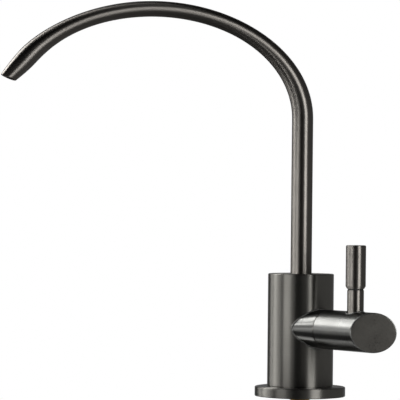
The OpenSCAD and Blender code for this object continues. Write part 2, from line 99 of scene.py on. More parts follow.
# Handle, as in the part's source
HANDLE_ANGLE = 35.0
VALVE_H = 39.0
HOUSING_R = 10.9
CARTRIDGE_R = 8.0
VALVE_FLOOR = 1.5
OUTLET_AT = 5.0
WATER_R = 2.5
SEAM_AT = 26.0
SEAM_GAP = 0.4
BARREL_R = 11.05
BARREL_REACH = 66.8
END_SLANT = 31.0
DRIVE_W = 5.4
DRIVE_END = 37.0
GRUB_AT = 32.0
GRUB_R = 2.0
LEVER_AT = 50.4
NECK_R = 4.6
NECK_H = 12.5
GRIP_R = 5.55
GRIP_H = 24.0
GRIP_ROOF = 4.0
STUD_R = 3.0
STUD_BOTTOM = -2.0
SEAT_CUT = 0.15
SEAT_R = NECK_R + ROOM
NECK_SEAT = math.sqrt(BARREL_R**2 - SEAT_R**2) - SEAT_CUT
NECK_TOP = BARREL_R + NECK_H
# Groove under the grip, whose inner faces carry a near-black painted shade, and the taper of the
# grip's lower edge
LINE_H = 0.7
LINE_DEPTH = 0.3
TAPER_H = 1.5
TAPER_STEP = 0.1

# Saddle, the widened root of the valve housing, and the beads round it and the lever
SADDLE_REACH = 14.6
SADDLE_AT = 11.5
SADDLE_CORE_R = HOUSING_R + SLIP
SADDLE_EDGE = 0.5
SADDLE_END = SEAM_AT - SADDLE_EDGE
SADDLE_INSIDE = 8.0
SADDLE_SKIN = 1.0
BEAD_R = 0.45

# Under the deck
SHANK_R = 6.0
SHANK_BORE_R = 3.0
SHANK_H = 48.0
SHANK_TOP = 17.7
SHANK_CHAMFER = 0.5
SEAL_T = 1.5
THREAD_PITCH = 1.5
THREAD_DEPTH = 0.85
THREAD_CREST = 0.12
THREAD_FLANK = 0.76
THREAD_RUN_OUT = 2.0

# Rounding of the edges
EASE_FINE = 0.15
EASE_SMALL = 0.2
EASE = 0.25
EASE_STUD = 0.3
EASE_LOW = 0.45
EASE_TOP = 0.55
EASE_GRIP_TOP = 0.7
EASE_GRIP_LOW = 0.8

UPRIGHT = Matrix.Identity(4)
VALVE_FRAME = (
    Matrix.Translation((0, 0, VALVE_H))
    @ Matrix.Rotation(math.radians(HANDLE_ANGLE - 90), 4, "Z")
    @ Matrix.Rotation(math.radians(90), 4, "Y")
)
LEVER_FRAME = (
    VALVE_FRAME
    @ Matrix.Translation((0, 0, LEVER_AT))
    @ Matrix.Rotation(math.radians(-90), 4, "Y")
)
GRUB_FRAME = (
    VALVE_FRAME
    @ Matrix.Translation((0, 0, GRUB_AT))
    @ Matrix.Rotation(math.radians(90), 4, "Y")
)
OUTLET_FRAME = (
    VALVE_FRAME
    @ Matrix.Translation((0, 0, OUTLET_AT))
    @ Matrix.Rotation(math.radians(-90), 4, "Y")
)

# Facets: sides round an axis
SIDES = 160
TUBE_SIDES = 72
LEVER_SIDES = 96
SHANK_SIDES = 72
GRUB_SIDES = 64
PORT_SIDES = 48
BEAD_SIDES = 16
# Facets: steps along a piece. A tube's steps are those of its riser, arch and nozzle.
OUTER_STEPS = 26, 150, 24
INNER_STEPS = 6, 60, 8
SADDLE_STEPS = 16
BARREL_STEPS = 24
FACE_STEPS = 8
FILLET_STEPS = 5
THREAD_STEPS = 10
# Facets: longest row on a turned piece
ROW = 6.0
ROW_FLANGE = 3.0
ROW_FINE = 2.5
# Rounds in which the saddle's foot is found on the body
FOOT_ROUNDS = 30

SMOOTH_ANGLE = math.radians(32)
SMOOTH_WEIGHT = 60

# A surface's own coordinates, in centimetres. The distance from a ring to the next is measured at
# every eighth point.
BRUSH = "brush"
BRUSH_UNIT = 10
BRUSH_SAMPLE = 8
# Scale of a grain that is the same along all axes
EVEN = (1, 1, 1)

gunmetal_pieces = []


def make_object(name, points, faces, uvs, place=UPRIGHT):
    """A mesh object from points in millimetres, faces, and a UV pair for each corner of a face."""
    mesh = bpy.data.meshes.new(name)
    mesh.from_pydata([(place @ Vector(p)) * MM for p in points], [], faces)
    layer = mesh.uv_layers.new(name=BRUSH)
    flat = [c for face in uvs for pair in face for c in pair]
    layer.data.foreach_set("uv", flat)
    mesh.polygons.foreach_set("use_smooth", [True] * len(mesh.polygons))
    mesh.update()
    obj = bpy.data.objects.new(name, mesh)
    bpy.context.scene.collection.objects.link(obj)
    return obj


def outward(obj):
    """Turns all faces outwards."""
    work = bmesh.new()
    work.from_mesh(obj.data)
    bmesh.ops.recalc_face_normals(work, faces=work.faces)
    work.to_mesh(obj.data)
    work.free()


def shade(obj):
    """Smooth faces, with sharp edges where two faces meet at a steep angle."""
    obj.data.set_sharp_from_angle(angle=SMOOTH_ANGLE)
    weighted = obj.modifiers.new("weighted normals", "WEIGHTED_NORMAL")
    weighted.keep_sharp = True
    weighted.weight = SMOOTH_WEIGHT


def finish_piece(obj, body, slot, materials, *nodes):
    """Turns the faces out, smooths them, adds the materials, hangs the piece on its body and hides the
    CAD nodes that it stands for. A piece of the gunmetal slot joins the gunmetal pieces.
    """
    outward(obj)
    shade(obj)
    for material in materials:
        obj.data.materials.append(material)
    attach(obj, body)
    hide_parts(*nodes)
    if slot == "gunmetal":
        gunmetal_pieces.append(obj)


def angles(sides):
    """Angles round an axis, from its back."""
    return [2 * math.pi * k / sides + math.pi / 2 for k in range(sides)]


def oval(half_x, half_y, z, sides=SIDES):
    """Points round the Z axis."""
    return [(half_x * math.cos(a), half_y * math.sin(a), z) for a in angles(sides)]


def circle(r, z, sides=SIDES):
    """Points round the Z axis at one distance."""
    return oval(r, r, z, sides)


def brush_uv(along, across):
    """A UV pair from distances along a piece's outline and round it."""
    return along / BRUSH_UNIT, across / BRUSH_UNIT


def round_edge(radius):
    """Distances from the two sides of a corner, for points on the quarter round that eases it."""
    turns = [math.pi / 2 * k / FILLET_STEPS for k in range(FILLET_STEPS + 1)]
    return [(radius * (1 - math.cos(a)), radius * (1 - math.sin(a))) for a in turns]


def fillet(outline, closed):
    """An outline of (r, z) or (r, z, radius) corners, with an arc at each corner that has a radius."""
    count = len(outline)
    made = []
    for i, corner in enumerate(outline):
        here = Vector(corner[:2])
        radius = corner[2] if len(corner) > 2 else 0
        inner = closed or 0 < i < count - 1
        if not radius or not inner:
            made.append(tuple(here))
            continue
        before = (Vector(outline[i - 1][:2]) - here).normalized()
        after = (Vector(outline[(i + 1) % count][:2]) - here).normalized()
        half = before.angle(after) / 2
        reach = radius / math.tan(half)
        centre = here + (before + after).normalized() * (radius / math.sin(half))
        first = here + before * reach - centre
        last = here + after * reach - centre
        turn = first.angle(last)
        for k in range(FILLET_STEPS + 1):
            t = k / FILLET_STEPS
            a = math.sin((1 - t) * turn) / math.sin(turn)
            b = math.sin(t * turn) / math.sin(turn)
            made.append(tuple(centre + first * a + last * b))
    return made


def divide(outline, row, closed):
    """Adds points on the outline's long straight runs."""
    made = []
    pairs = list(zip(outline, outline[1:] + outline[:1]))
    for a, b in pairs if closed else pairs[:-1]:
        start, end = Vector(a), Vector(b)
        parts = max(1, math.ceil((end - start).length / row))
        made += [tuple(start.lerp(end, k / parts)) for k in range(parts)]
    return made if closed else made + [outline[-1]]


def lathe(name, outline, place=UPRIGHT, sides=SIDES, row=ROW):
    """A turned piece. An outline that starts and ends on the axis is closed there, and any other
    outline makes a ring."""
    on_axis = outline[0][0] == 0 and outline[-1][0] == 0
    profile = divide(fillet(outline, not on_axis), row, not on_axis)
    if not on_axis:
        profile = profile + [profile[0]]
    along = [0.0]
    for a, b in zip(profile, profile[1:]):
        along.append(along[-1] + (Vector(b) - Vector(a)).length)
    around = 2 * math.pi * max(r for r, z in profile) / sides
    points, rings = [], []
    for r, z in profile if on_axis else profile[:-1]:
        if r == 0:
            rings.append([len(points)] * sides)
            points.append((0, 0, z))
        else:
            rings.append(list(range(len(points), len(points) + sides)))
            points += circle(r, z, sides)
    if not on_axis:
        rings.append(rings[0])
    faces, uvs = [], []
    for i in range(len(rings) - 1):
        here, there = rings[i], rings[i + 1]
        for k in range(sides):
            n = (k + 1) % sides
            corners = [
                (here[k], i, k),
                (here[n], i, k + 1),
                (there[n], i + 1, k + 1),
                (there[k], i + 1, k),
            ]
            kept = []
            for corner in corners:
                if corner[0] not in [other[0] for other in kept]:
                    kept.append(corner)
            faces.append([point for point, u, v in kept])
            uvs.append([brush_uv(along[u], v * around) for point, u, v in kept])
    return make_object(name, points, faces, uvs, place)


def skin(name, rings, width, place=UPRIGHT, loop=False):
    """Faces between rings of points. A loop joins the last ring to the first, and any other skin is
    capped. The width is the distance round a ring."""
    sides, count = len(rings[0]), len(rings)
    along = [0.0]
    for here, there in zip(rings, rings[1:] + rings[:1]):
        pairs = zip(here[::BRUSH_SAMPLE], there[::BRUSH_SAMPLE])
        along.append(along[-1] + max((Vector(b) - Vector(a)).length for a, b in pairs))
    around = width / sides
    faces, uvs = [], []
    for i in range(count if loop else count - 1):
        j = (i + 1) % count
        for k in range(sides):
            n = (k + 1) % sides
            faces.append((i * sides + k, i * sides + n, j * sides + n, j * sides + k))
            corners = (i, k), (i, k + 1), (i + 1, k + 1), (i + 1, k)
            uvs.append([brush_uv(along[u], v * around) for u, v in corners])
    if not loop:
        last = (count - 1) * sides
        faces += [tuple(range(last, last + sides)), tuple(reversed(range(sides)))]
        uvs += [[(0, 0)] * sides] * 2
    return make_object(name, [tuple(p) for ring in rings for p in ring], faces, uvs, place)


def cut(obj, *cutters):
    """Takes the cutters away from obj, and deletes them."""
    for cutter in cutters:
        outward(cutter)
        boolean = obj.modifiers.new("cut", "BOOLEAN")
        boolean.operation = "DIFFERENCE"
        boolean.solver = "EXACT"
        boolean.object = cutter
    outward(obj)
    bpy.context.view_layer.update()
    graph = bpy.context.evaluated_depsgraph_get()
    mesh = bpy.data.meshes.new_from_object(obj.evaluated_get(graph))
    obj.modifiers.clear()
    old = obj.data
    obj.data = mesh
    bpy.data.meshes.remove(old)
    mesh.name = obj.name
    for cutter in cutters:
        used = cutter.data
        bpy.data.objects.remove(cutter)
        bpy.data.meshes.remove(used)


def rod(name, r, z0, z1, place=UPRIGHT, sides=SIDES):
    """A round bar along the frame's Z axis."""
    return lathe(name, [(0, z0), (r, z0), (r, z1), (0, z1)], place, sides)


def prism(name, width, z0, z1, place):
    """A square bar along the frame's Z axis."""
    h = width / 2
    square = (-h, -h), (h, -h), (h, h), (-h, h)
    points = [(x, y, z) for z in (z0, z1) for x, y in square]
    faces = [(3, 2, 1, 0), (4, 5, 6, 7)]
    faces += [(k, (k + 1) % 4, 4 + (k + 1) % 4, 4 + k) for k in range(4)]
    uvs = [[(0, 0)] * 4 for face in faces]
    return make_object(name, points, faces, uvs, place)


def node_material(name):
    """A node material with its shader: (material, tree, shader)."""
    material = bpy.data.materials.new(name)
    material.use_nodes = True
    tree = material.node_tree
    return material, tree, tree.nodes["Principled BSDF"]


def add_node(tree, kind, **values):
    """A node with its properties set by name, and its inputs from a dict."""
    node = tree.nodes.new(kind)
    inputs = values.pop("inputs", {})
    for key, value in values.items():
        setattr(node, key, value)
    for key, value in inputs.items():
        node.inputs[key].default_value = value
    return node


def brush_coordinates(tree, along, around):
    """The turned surface's own coordinates, scaled along its outline and round it, per centimetre."""
    uv = add_node(tree, "ShaderNodeUVMap", uv_map=BRUSH)
    place = add_node(tree, "ShaderNodeMapping", inputs={"Scale": (along, around, 1)})
    tree.links.new(uv.outputs["UV"], place.inputs["Vector"])
    return place.outputs["Vector"]


def object_coordinates(tree, scale=EVEN):
    """The object's coordinates in metres, scaled along each axis."""
    where = add_node(tree, "ShaderNodeTexCoord")
    place = add_node(tree, "ShaderNodeMapping", inputs={"Scale": scale})
    tree.links.new(where.outputs["Object"], place.inputs["Vector"])
    return place.outputs["Vector"]


def noise(tree, vector, scale, detail, roughness):
    """A noise value."""
    node = add_node(tree, "ShaderNodeTexNoise",
                    inputs={"Scale": scale, "Detail": detail, "Roughness": roughness})
    tree.links.new(vector, node.inputs["Vector"])
    return node.outputs["Fac"]


def spread(tree, value, low, high, start=0.3, end=0.7):
    """Maps a noise value to a range."""
    node = add_node(tree, "ShaderNodeMapRange",
                    inputs={"From Min": start, "From Max": end, "To Min": low, "To Max": high})
    tree.links.new(value, node.inputs["Value"])
    return node.outputs["Result"]


def blend_colours(tree, value, first, second):
    """A colour between two, by a value from 0 to 1."""
    node = add_node(tree, "ShaderNodeMix", data_type="RGBA")
    node.inputs["A"].default_value = (*first, 1)
    node.inputs["B"].default_value = (*second, 1)
    tree.links.new(value, node.inputs["Factor"])
    return node.outputs["Result"]


def bump(tree, shader, value, strength, distance):
    """Raises the surface by a value. The distance is in metres."""
    node = add_node(tree, "ShaderNodeBump", inputs={"Strength": strength, "Distance": distance})
    tree.links.new(value, node.inputs["Height"])
    tree.links.new(node.outputs["Normal"], shader.inputs["Normal"])


def add_values(tree, first, second):
    """The sum of two values."""
    node = add_node(tree, "ShaderNodeMath", operation="ADD")
    tree.links.new(first, node.inputs[0])
    tree.links.new(second, node.inputs[1])
    return node.outputs["Value"]


# Dark coating: a darker and a lighter tone for each way in which it is brushed
TURNED_TONES = (0.090, 0.087, 0.080), (0.099, 0.096, 0.088)
DRAWN_TONES = (0.092, 0.086, 0.079), (0.101, 0.095, 0.087)
BARREL_TONES = (0.088, 0.088, 0.084), (0.097, 0.097, 0.093)
FACE_TONES = (0.084, 0.080, 0.073), (0.092, 0.088, 0.080)
FACE_ROUGHNESS = 0.31
EDGE_TINT = (0.55, 0.55, 0.55, 1)
# Scratches to a centimetre along the outline and round it, and how much finer the smallest are
SCRATCH_ALONG = 14
SCRATCH_AROUND = 0.25
SCRATCH_FINER = 4
# How far the gloss differs with the scratches and in broad clouds
GLOSS_FINE = 0.03
GLOSS_BROAD = 0.02


def coating(tree, shader, fine, cloud, tones, roughness):
    """Tone and gloss of the dark coating, a little uneven."""
    tone = blend_colours(tree, spread(tree, fine, 0, 1), *tones)
    gloss = add_values(
        tree,
        spread(tree, fine, -GLOSS_FINE, GLOSS_FINE),
        spread(tree, cloud, roughness - GLOSS_BROAD, roughness + GLOSS_BROAD),
    )
    tree.links.new(tone, shader.inputs["Base Color"])
    tree.links.new(gloss, shader.inputs["Roughness"])
    shader.inputs["Metallic"].default_value = 1
    shader.inputs["Specular Tint"].default_value = EDGE_TINT


def gunmetal(name, tones, roughness, anisotropy):
    """The coating on a turned or drawn piece: fine scratches round its axis."""
    material, tree, shader = node_material(name)
    wide = brush_coordinates(tree, SCRATCH_ALONG, SCRATCH_AROUND)
    narrow = brush_coordinates(tree, SCRATCH_ALONG * SCRATCH_FINER, SCRATCH_AROUND)
    scratches = noise(tree, wide, scale=1, detail=4, roughness=0.65)
    fine = noise(tree, narrow, scale=1, detail=2, roughness=0.5)
    cloud = noise(tree, object_coordinates(tree), scale=60, detail=3, roughness=0.5)
    coating(tree, shader, scratches, cloud, tones, roughness)
    tangent = add_node(tree, "ShaderNodeTangent", direction_type="UV_MAP", uv_map=BRUSH)
    tree.links.new(tangent.outputs["Tangent"], shader.inputs["Tangent"])
    shader.inputs["Anisotropic"].default_value = anisotropy
    bump(tree, shader, fine, strength=0.01, distance=0.00003)
    return material


def gunmetal_face():
    """The coating on the handle's end face, a finely ground flat."""
    material, tree, shader = node_material("gunmetal_face")
    grain = noise(tree, object_coordinates(tree), scale=1400, detail=3, roughness=0.6)
    cloud = noise(tree, object_coordinates(tree), scale=90, detail=3, roughness=0.5)
    coating(tree, shader, grain, cloud, FACE_TONES, FACE_ROUGHNESS)
    bump(tree, shader, grain, strength=0.05, distance=0.00002)
    return material


# Other materials: how much wider the clouds are than the grain, how far the gloss differs with the
# grain, and the grain's depth in metres
CLOUD_WIDER = 12
GRAIN_GLOSS = 0.06
GRAIN_DEPTH = 0.00004


def plain_material(name, tones, roughness, metallic, scale, stretch=EVEN, lift=0.1, specular=0.5):
    """A material with a grain in its tone, gloss and surface."""
    material, tree, shader = node_material(name)
    grain = noise(tree, object_coordinates(tree, stretch), scale, detail=4, roughness=0.6)
    broad = noise(tree, object_coordinates(tree), scale / CLOUD_WIDER, detail=2, roughness=0.5)
    mixed = spread(tree, add_values(tree, grain, broad), 0, 1, start=0.7, end=1.3)
    gloss = spread(tree, grain, roughness - GRAIN_GLOSS, roughness + GRAIN_GLOSS)
    tree.links.new(blend_colours(tree, mixed, *tones), shader.inputs["Base Color"])
    tree.links.new(gloss, shader.inputs["Roughness"])
    shader.inputs["Metallic"].default_value = metallic
    shader.inputs["Specular IOR Level"].default_value = specular
    bump(tree, shader, grain, lift, GRAIN_DEPTH)
    return material


BRASS_TONES = (0.50, 0.36, 0.14), (0.62, 0.46, 0.19)
STEEL_TONES = (0.50, 0.51, 0.52), (0.60, 0.61, 0.62)
RUBBER_TONES = (0.016, 0.016, 0.017), (0.026, 0.026, 0.027)
CERAMIC_TONES = (0.84, 0.82, 0.76), (0.88, 0.86, 0.80)
NYLON_TONES = (0.77, 0.75, 0.69), (0.83, 0.81, 0.75)
WHITE_TONES = (0.80, 0.79, 0.76), (0.84, 0.83, 0.80)
GREY_TONES = (0.25, 0.26, 0.27), (0.29, 0.30, 0.31)
# Near-black tones of the painted shade in the groove under the grip
PAINTED_SHADE_TONES = (0.005, 0.005, 0.005), (0.010, 0.010, 0.010)
TURNED_STRETCH = (1, 1, 6)

TURNED = gunmetal("gunmetal_turned", TURNED_TONES, roughness=0.42, anisotropy=1)
DRAWN = gunmetal("gunmetal_tube", DRAWN_TONES, roughness=0.47, anisotropy=1)
BARREL = gunmetal("gunmetal_barrel", BARREL_TONES, roughness=0.3, anisotropy=0.9)
FACE = gunmetal_face()
BRASS = plain_material("turned_brass", BRASS_TONES, 0.3, metallic=1, scale=900, stretch=TURNED_STRETCH)
STEEL = plain_material("plain_steel", STEEL_TONES, 0.3, metallic=1, scale=1200)
RUBBER = plain_material("moulded_rubber", RUBBER_TONES, 0.72, metallic=0, scale=1500, lift=0.3)
CERAMIC = plain_material("lapped_ceramic", CERAMIC_TONES, 0.22, metallic=0, scale=1800, lift=0.03)
NYLON = plain_material("moulded_nylon", NYLON_TONES, 0.45, metallic=0, scale=1500)
WHITE = plain_material("white_plastic", WHITE_TONES, 0.4, metallic=0, scale=1300)
GREY = plain_material("grey_plastic", GREY_TONES, 0.42, metallic=0, scale=1300)
# Painted shade: a near-black matt material that darkens the groove under the grip
PAINTED_SHADE = plain_material("painted_shade_line", PAINTED_SHADE_TONES, 0.85, metallic=0, scale=1500, specular=0)


def arch_point(a):
    """A point of the arch's centre line, as (x, z), by its angle from the crown."""
    return Vector((-ARCH_REACH * (1 + math.sin(a)), RISER_TOP + ARCH_RISE * math.cos(a)))


def arch_direction(a):
    """The way along the arch."""
    return Vector((-ARCH_REACH * math.cos(a), -ARCH_RISE * math.sin(a))).normalized()


def arch_radius(a):
    """The tube's radius on the arch: thinnest at the crown."""
    if a < 0:
        return (CROWN_D + (2 * TUBE_R - CROWN_D) * math.sin(a) ** SWELL_POWER) / 2
    part = (a / math.radians(NOZZLE_ANGLE)) ** SWELL_POWER
    return (CROWN_D + (NOZZLE_D - CROWN_D) * math.sin(math.pi / 2 * part)) / 2


def nozzle_radius(u):
    """The tube's radius on the nozzle, drawn in from 0 to 1 along it."""
    return (NOZZLE_D - (NOZZLE_D - LIP_D) * (1 - math.cos(math.pi / 2 * u))) / 2


def tube_stations(riser_steps, arch_steps, nozzle_steps):
    """Centre, direction, outside radius and slant of each ring along the spout."""
    made = []
    for i in range(riser_steps):
        z = TUBE_END_Z + (RISER_TOP - TUBE_END_Z) * i / riser_steps
        made.append((Vector((0, z)), Vector((0, 1)), TUBE_R, 0.0))
    last = math.radians(NOZZLE_ANGLE)
    for i in range(arch_steps + 1):
        a = -math.pi / 2 + i * (math.pi / 2 + last) / arch_steps
        made.append((arch_point(a), arch_direction(a), arch_radius(a), 0.0))
    end, way = arch_point(last), arch_direction(last)
    for i in range(1, nozzle_steps + 1):
        u = i / nozzle_steps
        slant = math.radians(LIP_SLANT * u)
        made.append((end + way * (u * NOZZLE_H), way, nozzle_radius(u), slant))
    return made


def tube_ring(station, inset, back=0.0):
    """Points round a station, inset from the outside and set back along the tube."""
    p, d, r, slant = station
    r -= inset
    made = []
    for a in angles(TUBE_SIDES):
        c, s = r * math.cos(a), r * math.sin(a)
        ahead = (c + s * LIP_FRONT) * math.tan(slant) - back
        made.append((p.x + c * d.y + ahead * d.x, s, p.y - c * d.x + ahead * d.y))
    return made


def spout():
    """The bent tube as one smooth sweep, with a rounded lip and an open bore."""
    outer = tube_stations(*OUTER_STEPS)
    inner = tube_stations(*INNER_STEPS)
    tip = outer[-1]
    edge = round_edge(LIP_ROUND)
    rings = [tube_ring(station, 0) for station in outer[:-1]]
    rings += [tube_ring(tip, a, b) for a, b in edge]
    rings += [tube_ring(tip, TUBE_WALL - b, a) for a, b in edge]
    rings += [tube_ring(station, TUBE_WALL) for station in reversed(inner[:-1])]
    tube = skin("gooseneck_spout", rings, 2 * math.pi * TUBE_R, loop=True)
    finish_piece(tube, "spout", "gunmetal", [DRAWN], "spout_tube")


def tap_body():
    """The turned body with its socket, shadow line and the bore for the valve housing."""
    hole_r = SHANK_R + SLIP
    hole_top = SHANK_TOP + SEAL_T
    low = FLANGE_T + SHADOW_GAP
    foot_r = BODY_R - SHADOW_GAP
    piece = lathe("turned_body", [
        (0, SOCKET_Z),
        (SOCKET_R, SOCKET_Z),
        (SOCKET_R, COLLAR_Z),
        (COLLAR_R, COLLAR_Z),
        (COLLAR_R, BODY_H, EASE_SMALL),
        (BODY_R, BODY_H, EASE_TOP),
        (BODY_R, low, EASE),
        (foot_r, low),
        (foot_r, FLANGE_T),
        (hole_r, FLANGE_T),
        (hole_r, hole_top),
        (0, hole_top),
    ], row=ROW_FINE)
    cut(piece, rod("housing_bore", HOUSING_R + SLIP, VALVE_FLOOR, 3 * BODY_R, VALVE_FRAME))
    finish_piece(piece, "tap_body", "gunmetal", [TURNED], "body")


def collar():
    """The flat collar that closes the top of the body round the spout."""
    out_r = COLLAR_R - SLIP
    in_r = TUBE_R + ROOM
    piece = lathe("top_collar", [
        (in_r, COLLAR_Z),
        (out_r, COLLAR_Z),
        (out_r, BODY_H, EASE_SMALL),
        (in_r, BODY_H, EASE),
    ])
    finish_piece(piece, "tap_body", "gunmetal", [TURNED], "spout_collar")


def flange():
    """The base flange with eased edges and the recess for its gasket."""
    in_r = SHANK_R + ROOM
    piece = lathe("base_plate", [
        (in_r, GASKET_PROUD),
        (GASKET_IN_R, GASKET_PROUD),
        (GASKET_IN_R, GASKET_T),
        (GASKET_R, GASKET_T),
        (GASKET_R, GASKET_PROUD),
        (FLANGE_R, GASKET_PROUD, EASE_LOW),
        (FLANGE_R, FLANGE_T, EASE_TOP),
        (in_r, FLANGE_T),
    ], row=ROW_FLANGE)
    finish_piece(piece, "tap_body", "gunmetal", [TURNED], "base_flange")


def housing():
    """The fixed valve housing that comes out of the body."""
    piece = lathe("valve_sleeve", [
        (CARTRIDGE_R, VALVE_FLOOR),
        (HOUSING_R, VALVE_FLOOR, EASE),
        (HOUSING_R, SEAM_AT, EASE),
        (CARTRIDGE_R, SEAM_AT),
    ], VALVE_FRAME, row=ROW_FINE)
    cut(piece, rod("outlet_port", WATER_R, 0, 2 * HOUSING_R, OUTLET_FRAME, PORT_SIDES))
    finish_piece(piece, "tap_body", "gunmetal", [TURNED], "valve_housing")


def saddle_side(z):
    """The saddle's reach to each side: widest against the body, and drawn in towards the seam."""
    t = max(0.0, (z - SADDLE_AT) / (SADDLE_END - SADDLE_AT))
    return SADDLE_REACH * (1 - t) + SADDLE_CORE_R * t


def saddle():
    """The widened root of the housing: an oval against the body, and a round at the seam."""
    rows = [SADDLE_AT - SADDLE_INSIDE]
    rows += [SADDLE_AT + (SADDLE_END - SADDLE_AT) * k / SADDLE_STEPS for k in range(SADDLE_STEPS + 1)]
    rings = [oval(SADDLE_CORE_R, saddle_side(z), z) for z in rows]
    piece = skin("housing_saddle", rings, 2 * math.pi * HOUSING_R, VALVE_FRAME)
    cut(
        piece,
        rod("body_space", BODY_R + SLIP, 0, 2 * BODY_H),
        rod("valve_space", HOUSING_R - SADDLE_SKIN, 0, 2 * SEAM_AT, VALVE_FRAME),
    )
    finish_piece(piece, "tap_body", "gunmetal", [BARREL], "valve_housing")


def bead(name, path, outs):
    """A small round bead along a closed path that lies on a turned surface."""
    rings = []
    for i, p in enumerate(path):
        along = (path[(i + 1) % len(path)] - path[i - 1]).normalized()
        out = outs[i].normalized()
        side = along.cross(out).normalized()
        turns = angles(BEAD_SIDES)
        rings.append([p + (out * math.cos(a) + side * math.sin(a)) * BEAD_R for a in turns])
    return skin(name, rings, 2 * math.pi * BEAD_R, VALVE_FRAME, loop=True)


def saddle_foot(a):
    """The point at which the saddle meets the body, by its angle round the valve's axis."""
    z = BODY_R
    for i in range(FOOT_ROUNDS):
        y = saddle_side(z) * math.sin(a)
        z = math.sqrt(BODY_R**2 - y**2)
    return Vector((SADDLE_CORE_R * math.cos(a), y, z))


def saddle_bead():
    """The small rounded bead that runs round the saddle's foot, on the body."""
    path = [saddle_foot(a) for a in angles(SIDES)]
    piece = bead("saddle_bead", path, [Vector((0, p.y, p.z)) for p in path])
    finish_piece(piece, "tap_body", "gunmetal", [BARREL], "valve_housing")


def lever_bead():
    """The small rounded bead on the barrel, round the lever's neck."""
    r = SEAT_R + BEAD_R / 2
    path = []
    for a in angles(SIDES):
        y = r * math.sin(a)
        path.append(Vector((-math.sqrt(BARREL_R**2 - y**2), y, LEVER_AT + r * math.cos(a))))
    piece = bead("lever_bead", path, [Vector((p.x, p.y, 0)) for p in path])
    finish_piece(piece, "handle", "gunmetal", [BARREL], "handle_barrel")


def end_ring(r):
    """Points on the barrel's slanted end."""
    tilt = math.tan(math.radians(END_SLANT))
    return [Vector((x, y, BARREL_REACH + y * tilt)) for x, y, z in circle(r, 0)]


def drawn_point(a, b, c, t):
    """A point on the curve from a to c that is drawn towards b."""
    return a * (1 - t) ** 2 + b * (2 * t * (1 - t)) + c * t**2


def barrel():
    """The turning barrel: a cylinder cut on a slant, with an eased edge round its flat end face."""
    start = SEAM_AT + SEAM_GAP
    face_r = BARREL_R - EASE_TOP
    rings = [[Vector(p) for p in circle(BARREL_R - b, start + a)] for a, b in round_edge(EASE)]
    first, corner, inside = rings[-1], end_ring(BARREL_R), end_ring(face_r)
    below = [p - Vector((0, 0, EASE_TOP)) for p in corner]
    for k in range(1, BARREL_STEPS + 1):
        rings.append([a.lerp(b, k / BARREL_STEPS) for a, b in zip(first, below)])
    for k in range(1, FILLET_STEPS + 1):
        t = k / FILLET_STEPS
        rings.append([drawn_point(a, b, c, t) for a, b, c in zip(below, corner, inside)])
    face_from = (len(rings) - 1) * SIDES
    for k in range(1, FACE_STEPS):
        rings.append(end_ring(face_r * (1 - k / FACE_STEPS)))
    piece = skin("handle_barrel_turned", rings, 2 * math.pi * BARREL_R, VALVE_FRAME)
    count = len(piece.data.polygons)
    kinds = [1 if face_from <= i < count - 1 else 0 for i in range(count)]
    piece.data.polygons.foreach_set("material_index", kinds)
    hole_r = STUD_R + SLIP
    hole_bottom = STUD_BOTTOM - ROOM
    seat = lathe("lever_seat", [
        (0, hole_bottom),
        (hole_r, hole_bottom),
        (hole_r, NECK_SEAT),
        (SEAT_R, NECK_SEAT),
        (SEAT_R, 2 * BARREL_R),
        (0, 2 * BARREL_R),
    ], LEVER_FRAME, LEVER_SIDES)
    cut(
        piece,
        seat,
        prism("drive_hole", DRIVE_W + 2 * SLIP, start - CUT_OVER, DRIVE_END + ROOM, VALVE_FRAME),
        rod("grub_hole", GRUB_R + SLIP, 0, 2 * BARREL_R, GRUB_FRAME, GRUB_SIDES),
    )
    finish_piece(piece, "handle", "gunmetal", [BARREL, FACE], "handle_barrel")


def lever():
    """The lever's neck with its stud, and the grip screwed on to it."""
    stud_top = NECK_TOP + GRIP_H - GRIP_ROOF
    line_z = NECK_TOP - LINE_H
    line_r = NECK_R - LINE_DEPTH
    neck = lathe("lever_stem", [
        (0, STUD_BOTTOM),
        (STUD_R, STUD_BOTTOM, EASE_STUD),
        (STUD_R, NECK_SEAT),
        (NECK_R, NECK_SEAT, EASE_SMALL),
        (NECK_R, line_z, EASE_FINE),
        (line_r, line_z),
        (line_r, NECK_TOP),
        (STUD_R, NECK_TOP),
        (STUD_R, stud_top, EASE_STUD),
        (0, stud_top),
    ], LEVER_FRAME, LEVER_SIDES)
    # The groove's inner faces take the painted shade, which stands in for the shadow under the grip
    to_lever = LEVER_FRAME.inverted()
    for polygon in neck.data.polygons:
        middle = to_lever @ (polygon.center / MM)
        if line_z < middle.z < NECK_TOP and middle.xy.length < NECK_R:
            polygon.material_index = 1
    finish_piece(neck, "handle", "gunmetal", [DRAWN, PAINTED_SHADE], "lever_neck")
    hole_r = STUD_R + SLIP
    hole_top = stud_top + ROOM
    top = NECK_TOP + GRIP_H
    grip = lathe("lever_knob", [
        (0, hole_top),
        (hole_r, hole_top),
        (hole_r, NECK_TOP),
        (NECK_R + TAPER_STEP, NECK_TOP, EASE_SMALL),
        (GRIP_R, NECK_TOP + TAPER_H, EASE_GRIP_LOW),
        (GRIP_R, top, EASE_GRIP_TOP),
        (0, top),
    ], LEVER_FRAME, LEVER_SIDES)
    finish_piece(grip, "handle", "gunmetal", [DRAWN], "lever_grip")


def thread_radius(z, a):
    """The threaded shank's radius at a height and an angle. The thread runs out at both ends."""
    wave = abs(2 * ((z / THREAD_PITCH - a / (2 * math.pi)) % 1.0) - 1)
    tooth = min(1.0, max(0.0, (wave - THREAD_CREST) / THREAD_FLANK))
    end = min(z + SHANK_H, SHANK_TOP - z)
    crest = SHANK_R - SHANK_CHAMFER * max(0.0, 1 - end / SHANK_CHAMFER)
    return crest - THREAD_DEPTH * tooth * min(1.0, end / THREAD_RUN_OUT)


